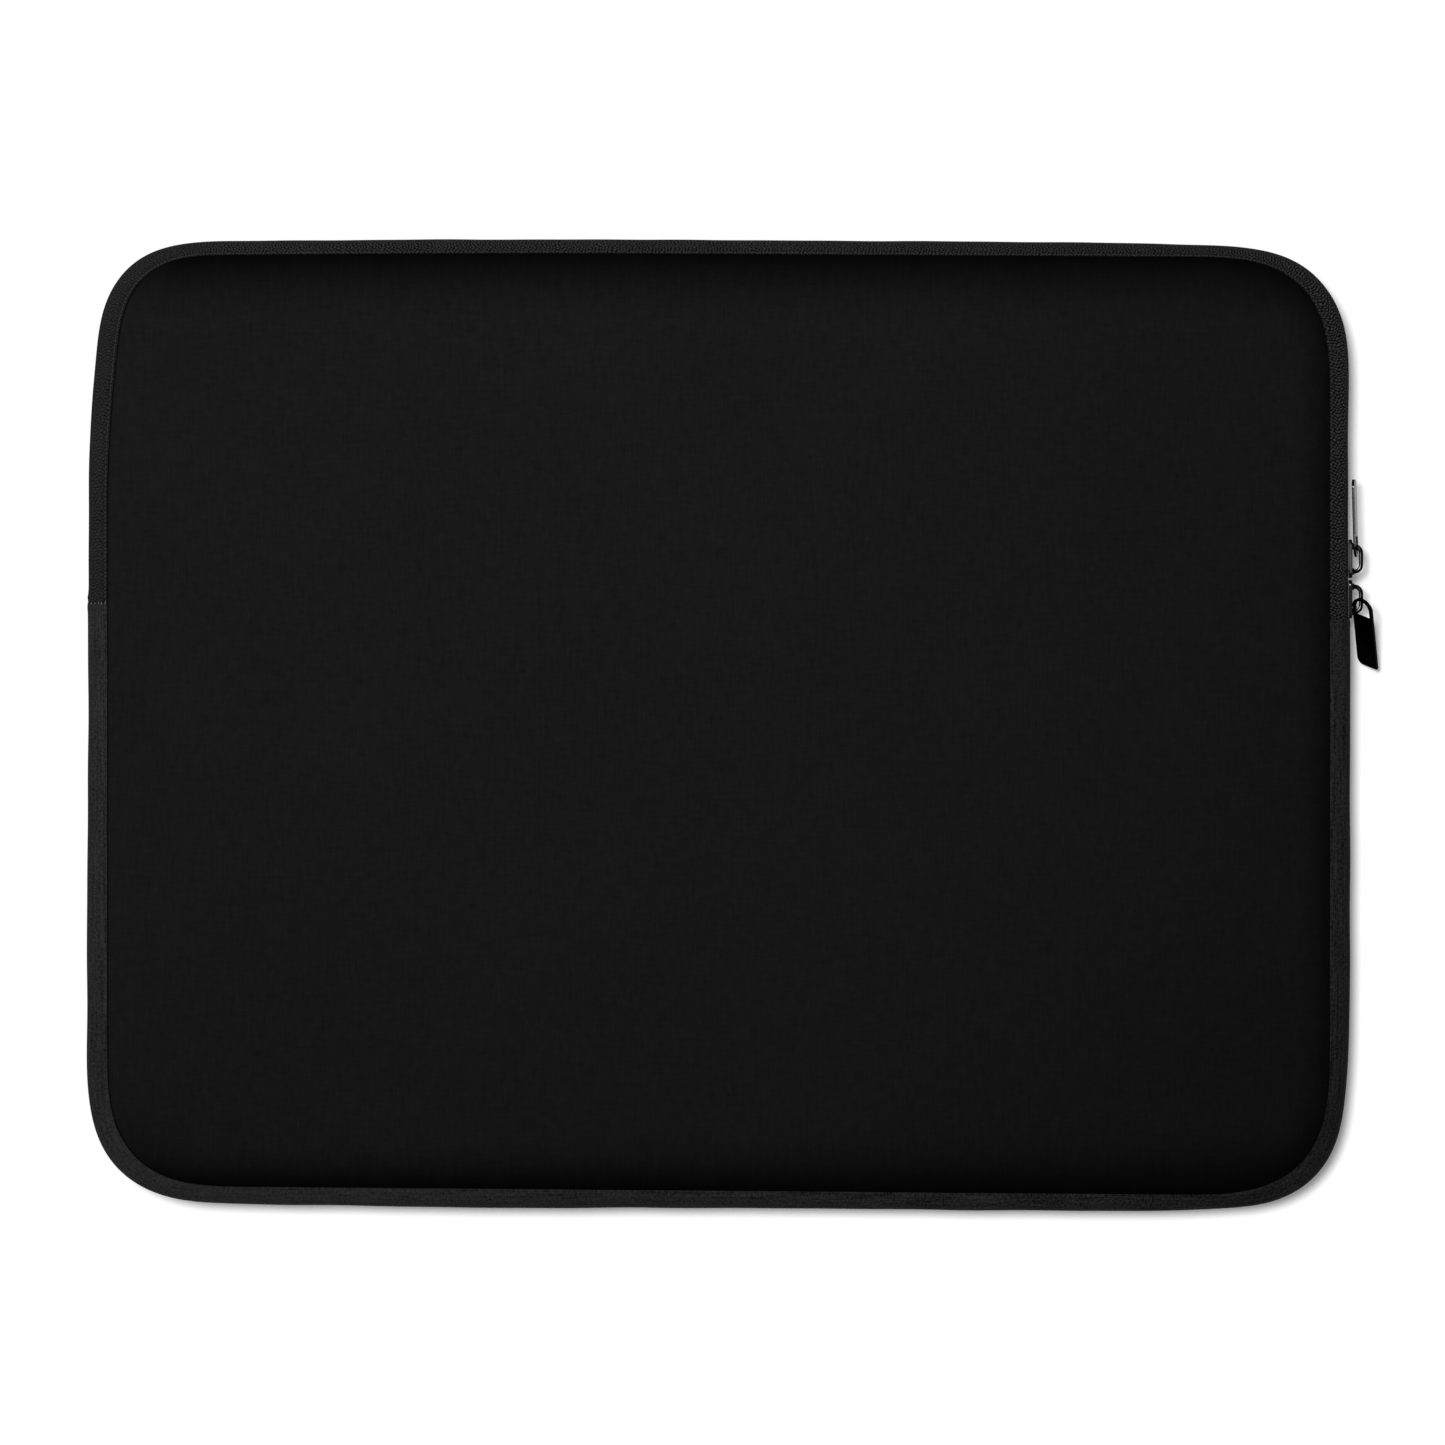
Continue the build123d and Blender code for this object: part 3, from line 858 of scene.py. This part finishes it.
tapeTop = seamHalf - band["edge"]
zipWay = spaced(zipStart + band["tapeEnd"], zipEnd - band["tapeEnd"], band["step"])
section, across = bandSection(band["tapeStart"], tapeTop, *band["tape"], sleeve["zipSetback"])
for side, sign in bothSides:
    tape = strip(f"{side}_zip_tape", zipWay, *sectionFor(sign, section, across * sign), tapeSwell)
    dress(tape, tapeCloth, "zipper_tape", f"{side}_zipper_tape")
    sheetSize("tape", across, zipWay)

start, end = zipEnd + band["gussetEnd"], wholeWay + zipStart - band["gussetEnd"]
hemSteps, hem = np.array(band["hemSteps"]), band["hemLength"]
gussetWay = np.concatenate([
    start + hemSteps, spaced(start + hem, end - hem, band["step"]), (end - hemSteps)[::-1]])
innerHalf = band["innerHalf"]
for name, half, swell, material, slot, node in (
        ("cloth", tapeTop, gussetSwell, gussetCloth, "gusset_fabric", "lower_gusset"),
        ("foam_strip", innerHalf, innerSwell, foam, "padding_foam", "lower_gusset_foam"),
        ("lining_cloth", innerHalf, innerSwell, liningCloth, "lining_fabric", "lower_gusset_lining")):
    section, across = bandSection(-half, half, *band[name])
    ply = strip(f"lower_gusset_{name}", gussetWay, section[::-1], across[::-1], swell)
    dress(ply, material, slot, node)
    if material is foam:
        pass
    else:
        sheetSize(f"gusset {slot}", across, gussetWay)
print("band made")


coilShape = {
    "inward": 2.15, "level": 1.85, "inwardReach": 0.74, "levelReach": 0.98, "wire": 0.5,
    "pitch": 1.25, "endGap": 0.3, "steps": 12, "wayReach": 2.0,
}
shape = coilShape
start, end = zipStart + shape["endGap"], zipEnd - shape["endGap"]
along = np.linspace(start, end, int((end - start) / shape["pitch"]) * shape["steps"])
phase = 2 * pi * np.arange(len(along)) / shape["steps"]
outward = outwardAt(along, shape["wayReach"])
inward = shape["inward"] - sway(along) + shape["inwardReach"] * np.cos(phase)
for side, sign in bothSides:
    path = atHeight(
        onTrack(baseTrack, along) - outward * inward[:, None],
        middle + sign * (shape["level"] + shape["levelReach"] * np.sin(phase)))
    lifted = atHeight(-outward * np.cos(phase)[:, None], sign * np.sin(phase))
    coil = makeMesh(f"{side}_coil_loops", *tubeAlong(path, lifted, shape["wire"], shape["wire"], 6))
    dress(coil, coilNylon, "zipper_coil", f"{side}_zipper_coil")
print("coils made")


liningShape = {
    "inset": 0.9, "ply": 0.6, "gap": 0.05, "around": 4.0, "grid": 9.0,
    "dent": 0.04, "waves": (90, 140, 60),
}
bindingShape = {"inset": 0.9, "width": 4.0, "thickness": 1.4, "round": 0.6, "gap": 0.05, "step": 2.5}
seamShape = {"inset": 2.6, "pitch": 3.0, "stitch": (2.6, 0.4, 0.36), "dip": 0.35, "below": 2.35}


def liningSheet():
    shape = liningShape
    ring = onTrack(edgeTrack(1, shape["inset"]), roundWay(shape["around"]))
    flat, triangles = filled(ring, shape["grid"])
    top = middle + seamHalf - shape["gap"]
    dent = np.maximum(ripples(flat[:, 0], flat[:, 1], shape["waves"], seed=23), 0) * shape["dent"]
    dent[:len(ring)] = 0
    points = np.vstack([atHeight(flat, top - dent), atHeight(flat, top - shape["ply"] + dent / 2)])
    x, y = flat[:len(ring)].T
    area = 0.5 * abs(np.sum(x * np.roll(y, -1) - y * np.roll(x, -1)))
    return points, plyFaces(triangles, len(ring), len(flat)), (np.ptp(x), np.ptp(y)), area


def foldedSection(quarterSteps=4):
    # rounded section of the folded tape, as share, inward and height
    shape = bindingShape
    r = shape["round"]
    top = seamHalf - liningShape["gap"] - liningShape["ply"] - shape["gap"]
    bottom, outer, inner = top - shape["thickness"], shape["inset"], shape["inset"] + shape["width"]
    corners = (
        (inner - r, top - r, 0), (outer + r, top - r, 90),
        (outer + r, bottom + r, 180), (inner - r, bottom + r, 270))
    spots = []
    for x, z, start in corners:
        for step in range(quarterSteps + 1):
            turn = radians(start + 90 * step / quarterSteps)
            spots.append((1, x + r * cos(turn), z + r * sin(turn)))
    return np.array(spots)


liningPoints, liningFaces, liningSize, liningArea = liningSheet()
section = foldedSection()
sectionWay = lengthSoFar(section[:, 1:])
bindingWay, threadWay = roundWay(bindingShape["step"]), roundWay(seamShape["pitch"])
threadSpots = onTrack(edgeTrack(1, seamShape["inset"]), threadWay)  # just under the binding
for side, sign in bothSides:
    lining = makeMesh(f"{side}_lining_cloth", *forSide(sign, liningPoints, liningFaces))
    dress(lining, liningCloth, "lining_fabric", f"{side}_lining")
    flat = tuple(size * mm for size in liningSize)
    liningArea * mm * mm
    rows = sectionFor(sign, section, sectionWay)
    binding = strip(f"{side}_folded_binding", bindingWay, *rows, innerSwell, closed=True)
    dress(binding, bindingCloth, "binding_tape", f"{side}_seam_binding")
    spots = atHeight(threadSpots, middle + sign * (seamHalf - seamShape["below"]))
    run = onward(outwardAt(threadWay))
    stitching = threads(f"{side}_lockstitches", spots, run, np.array([[0, 0, -sign]]), seamShape)
    dress(stitching, seamThread, "thread", f"{side}_seam_thread")
print("lining", np.round(liningSize, 1), "area", round(liningArea * mm * mm, 4))


topStitch = {
    "pitch": 1.25, "endGap": 2.0, "below": 0.55, "proud": 0.02,
    "stitch": (0.95, 0.34, 0.26), "dip": 0.8, "uneven": 0.08, "waves": (3.1, 5.3, 7.7),
}
tackShape = {
    "count": 21, "span": 0.955, "proud": 0.06, "stitch": (1.15, 0.46, 0.34), "dip": 0.6,
    "wander": 0.12, "wanderTurn": 2.4,
}


def bandSpots(along, arc, proud, setback, swell):
    # places on the band, with the way along it and the way out of it; arc is measured from the middle
    length, line = bandLine(0, seamHalf - 0.02)  # just short of the seam
    h, s, n, u = [np.interp(abs(arc), length, row) for row in line]
    sign = -1 if arc < 0 else 1
    outward = outwardAt(along)
    spots = onTrack(edgeTrack(s, (1 - s) * setback), along)
    spots = spots + outward * (swell(along, arc) * (1 - s ** 2) + n * proud)[:, None]
    spots = atHeight(spots, middle + sign * (h - u * proud))
    return spots, onward(outward), atHeight(outward * n, -u * sign)


seamArc = bandLine(0, seamHalf)[0][-1]
stitchWay = spaced(zipStart + topStitch["endGap"], zipEnd - topStitch["endGap"], topStitch["pitch"])
stitchWay = stitchWay + topStitch["uneven"] * ripples(stitchWay, 0, topStitch["waves"], seed=31)
for side, sign in bothSides:
    arc = sign * (seamArc - topStitch["below"])
    found = bandSpots(stitchWay, arc, topStitch["proud"], sleeve["zipSetback"], tapeSwell)
    dress(threads(f"{side}_top_stitches", *found, topStitch), seamThread, "thread")

tackPlaces = (("left", litLeftThread, zipEnd), ("right", shadedRightThread, wholeWay + zipStart))
for side, thread, place in tackPlaces:
    rows = []
    for k in range(tackShape["count"]):
        arc = (2 * k / (tackShape["count"] - 1) - 1) * seamArc * tackShape["span"]
        wander = tackShape["wander"] * sin(k * tackShape["wanderTurn"])
        rows.append(bandSpots(np.array([place + wander]), arc, tackShape["proud"], 0, gussetSwell))
    found = [np.vstack(column) for column in zip(*rows)]
    dress(threads(f"{side}_tack_stitches", *found, tackShape), thread, "thread", f"{side}_bar_tack")
print("stitches made")


tabShape = {
    "length": 22.6, "width": 7.8, "thickness": 0.8, "endRadius": 2.2, "cornerRadius": 0.4,
    "shoulder": 2.2, "bar": 0.9, "leg": 1.05, "window": 5.2, "edge": 0.29, "dome": 0.06,
    "domeReach": 1.3, "easing": 0.13, "easingSteps": 6, "plateSteps": 9,
    # bar from the middle of the slider's plate: out, towards the tail, up; then lean, droop and tilt
    "upper": ((1.25, 1.0, 0.0), (-1.5, 0.0, -82.0), 1),
    "lower": ((2.9, 0.3, 2.5), (7.0, 30.0, 49.0), -1),
}
bailShape = {
    "length": 8.8, "reach": 3.4, "root": -0.1, "wire": 1.3, "depth": 0.8, "bend": 1.95,
    "squareness": 3.4,
}
bossShape = {"half": (0.72, 1.05, 1.45), "sunk": 0.12, "squareness": 3.2}
plateShape = {"weld": 0.01, "bevel": 0.24, "segments": 3, "sharp": 35}


def tabLine(half, start, end, leftRadius, rightRadius, count=168):
    # once round a tab or its window from the middle of the arched head, first to its right
    rise = tabShape["shoulder"] - start
    arch = (rise ** 2 + half ** 2) / (2 * rise)
    turns, quarter = np.linspace(0, atan2(half, arch - rise), 16), np.linspace(0, pi / 2, 14)
    head = np.column_stack([arch * np.sin(turns), start + arch * (1 - np.cos(turns))])
    right, left = [
        np.column_stack([half - radius * (1 - np.cos(quarter)), end - radius * (1 - np.sin(quarter))])
        for radius in (rightRadius, leftRadius)]
    line = np.vstack([head, right, left[::-1] * (-1, 1), head[::-1] * (-1, 1)])
    length = lengthSoFar(line)
    picked = np.linspace(0, length[-1], count, endpoint=False)
    return np.column_stack([np.interp(picked, length, line[:, i]) for i in range(2)])


def tabForm():
    # domed plate with rounded rims round its window and its outline, as across, along and thickness
    s = tabShape
    half, bar, corner, plate = s["width"] / 2, s["bar"] / 2, s["cornerRadius"], s["plateSteps"]
    outer = tabLine(half, -bar, s["length"], s["endRadius"], corner)
    window = tabLine(half - s["leg"], bar, bar + s["window"], corner, corner)
    gap = np.linalg.norm(outer - window, axis=1)
    rim = s["easing"] * (1 - np.cos(np.linspace(0, pi / 2, s["easingSteps"])))
    rows = [np.full(len(gap), r) for r in rim]
    rows += [rim[-1] + (gap - 2 * rim[-1]) * k / plate for k in range(1, plate)]
    rows += [gap - r for r in rim[::-1]]
    top = []
    for row in rows:
        near = np.minimum(row, gap - row)
        turn = 1 - np.clip(near / s["easing"], 0, 1)
        full = s["thickness"] / 2 * (1 - s["dome"] * np.exp(-near / s["domeReach"]))
        height = s["edge"] + (full - s["edge"]) * np.sqrt(1 - turn ** 2)
        top.append(atHeight(window + (outer - window) * (row / gap)[:, None], height))
    points = np.array(top + [spots * (1, 1, -1) for spots in top[::-1]])
    return points.reshape(-1, 3), gridFaces(len(points), len(gap), closed=True)


def plateMiddle(which):
    low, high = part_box(f"{which}_slider_body")
    return np.array([high.x, (low.y + high.y) / 2, (low.z + high.z) / 2]) / mm


def addTab(which):
    (out, toTail, up), turns, way = tabShape[which]
    lean, droop, tilt = [radians(turn) for turn in turns]
    flat = np.array([sin(lean), way * cos(lean), 0])
    level = np.array([cos(lean), -way * sin(lean), 0])
    along = flat * cos(droop) - (0, 0, sin(droop))
    across = level * cos(tilt) + np.cross(level, along) * way * sin(tilt)
    points, faces = tabForm()
    placed = plateMiddle(which) + (out, way * toTail, up)
    placed = placed + points @ np.array([across, along, np.cross(across, along)])
    tab = makeMesh(f"{which}_domed_tab", placed, faces)
    dress(tab, enamel, "slider_metal", f"{which}_pull_tab", body=f"{which}_pull")


def addBail(which):
    s = bailShape
    half, far, bend = (s["length"] - s["wire"]) / 2, s["reach"] - s["wire"] / 2, s["bend"]
    quarter = np.linspace(0, pi / 2, 12)
    corner = np.column_stack([
        far - bend + bend * np.sin(quarter), -half + bend - bend * np.cos(quarter)])
    root = np.column_stack([np.linspace(s["root"], far - bend, 6)[:-1], np.full(5, -half)])
    front = np.column_stack([np.full(5, far), np.linspace(bend - half, half - bend, 7)[1:-1]])
    line = np.vstack([root, corner, front, corner[::-1] * (1, -1), root[::-1] * (1, -1)])
    path, up = plateMiddle(which) + atHeight(line, 0), np.array([[0, 0, 1]])
    ring = tubeAlong(path, up, s["wire"], s["depth"], 16, s["squareness"])
    bail = makeMesh(f"{which}_bail_ring", *ring)
    dress(bail, enamel, "slider_metal", f"{which}_slider_bail", body=f"{which}_slider")
    points, faces = np.zeros((0, 3)), []
    for sign in (-1, 1):
        centre = plateMiddle(which) + (bossShape["sunk"], sign * half, 0)
        spots, around = lump(centre, bossShape["half"], bossShape["squareness"])
        faces += [[i + len(points) for i in face] for face in around]
        points = np.vstack([points, spots])
    bosses = makeMesh(f"{which}_bail_bosses", points, faces)
    dress(bosses, enamel, "slider_metal", body=f"{which}_slider")


def softenBody(which):  # the die-cast plates keep their shape and get rounded edges
    body = cadNodes[f"{which}_slider_body"]
    body.data.materials.clear()
    body.data.materials.append(enamel)
    weld = body.modifiers.new("joined", "WELD")
    weld.merge_threshold = plateShape["weld"] * mm
    bevel = body.modifiers.new("rounded", "BEVEL")
    bevel.width = plateShape["bevel"] * mm
    bevel.segments = plateShape["segments"]
    bevel.limit_method = "ANGLE"
    bevel.angle_limit = radians(plateShape["sharp"])


for which in ("upper", "lower"):
    softenBody(which)
    addBail(which)
    addTab(which)
print("sliders made")


stageLook = {
    "viewCentre": (1.2, 0.7), "viewWidth": 429.2, "distance": 4000.0,
    "floorHalf": 6000.0, "floorLevel": -0.1, "floorWhite": 0.90, "floorGlow": 0.14,
    "sky": 0.25, "sun": 2.6, "sunSpread": 12.0, "sunLean": 11.0, "sunFrom": 141.0,
}


def addFloor():
    look, p = stageLook, Paint("floor_white")
    half, level, white = look["floorHalf"], look["floorLevel"], look["floorWhite"]
    corners = [(x * half, y * half, level) for x, y in ((-1, -1), (1, -1), (1, 1), (-1, 1))]
    floor = makeMesh("floor", corners, [(0, 1, 2, 3)])
    matte = p.add("BsdfDiffuse", values={"Color": (white, white, white, 1)})
    glow = p.add("Emission", values={"Color": (1, 1, 1, 1), "Strength": look["floorGlow"]})
    both = p.add("AddShader", values=(matte, glow))
    camera, glossy, through = [
        p.add("LightPath", output=f"Is {ray} Ray")
        for ray in ("Camera", "Glossy", "Transmission")]
    mixed = p.add("MixShader", values=(camera + glossy + through, matte, both))
    p.add("OutputMaterial", values=(mixed,))
    floor.data.materials.append(p.owner)


def addLights():
    look, p = stageLook, Paint("studio", "worlds")
    sky, seenSky = [
        p.add("Background", values={"Color": (1, 1, 1, 1), "Strength": strength})
        for strength in (look["sky"], 1.0)]
    seen = p.add("LightPath", output="Is Camera Ray")
    mixed = p.add("MixShader", values=(seen, sky, seenSky))
    p.add("OutputWorld", values=(mixed,))
    bpy.context.scene.world = p.owner
    lamp = bpy.data.lights.new("key", "SUN")
    lamp.energy = look["sun"]
    lamp.angle = radians(look["sunSpread"])
    key = intoScene("key", lamp)
    lean, turn = radians(look["sunLean"]), radians(look["sunFrom"])
    towards = Vector((sin(lean) * cos(turn), sin(lean) * sin(turn), cos(lean)))
    key.rotation_mode = "QUATERNION"
    key.rotation_quaternion = towards.to_track_quat("Z", "Y")


def addCamera():
    look = stageLook
    data = bpy.data.cameras.new("camera")
    data.type = "PERSP"
    data.lens = data.sensor_width * look["distance"] / look["viewWidth"]
    data.clip_start = 0.1
    data.clip_end = 50
    camera = intoScene("camera", data)
    x, y = look["viewCentre"]
    camera.location = (x * mm, y * mm, (look["distance"] + middle) * mm)
    bpy.context.scene.camera = camera


addFloor()
addLights()
addCamera()
bpy.context.scene.view_settings.view_transform = "Standard"
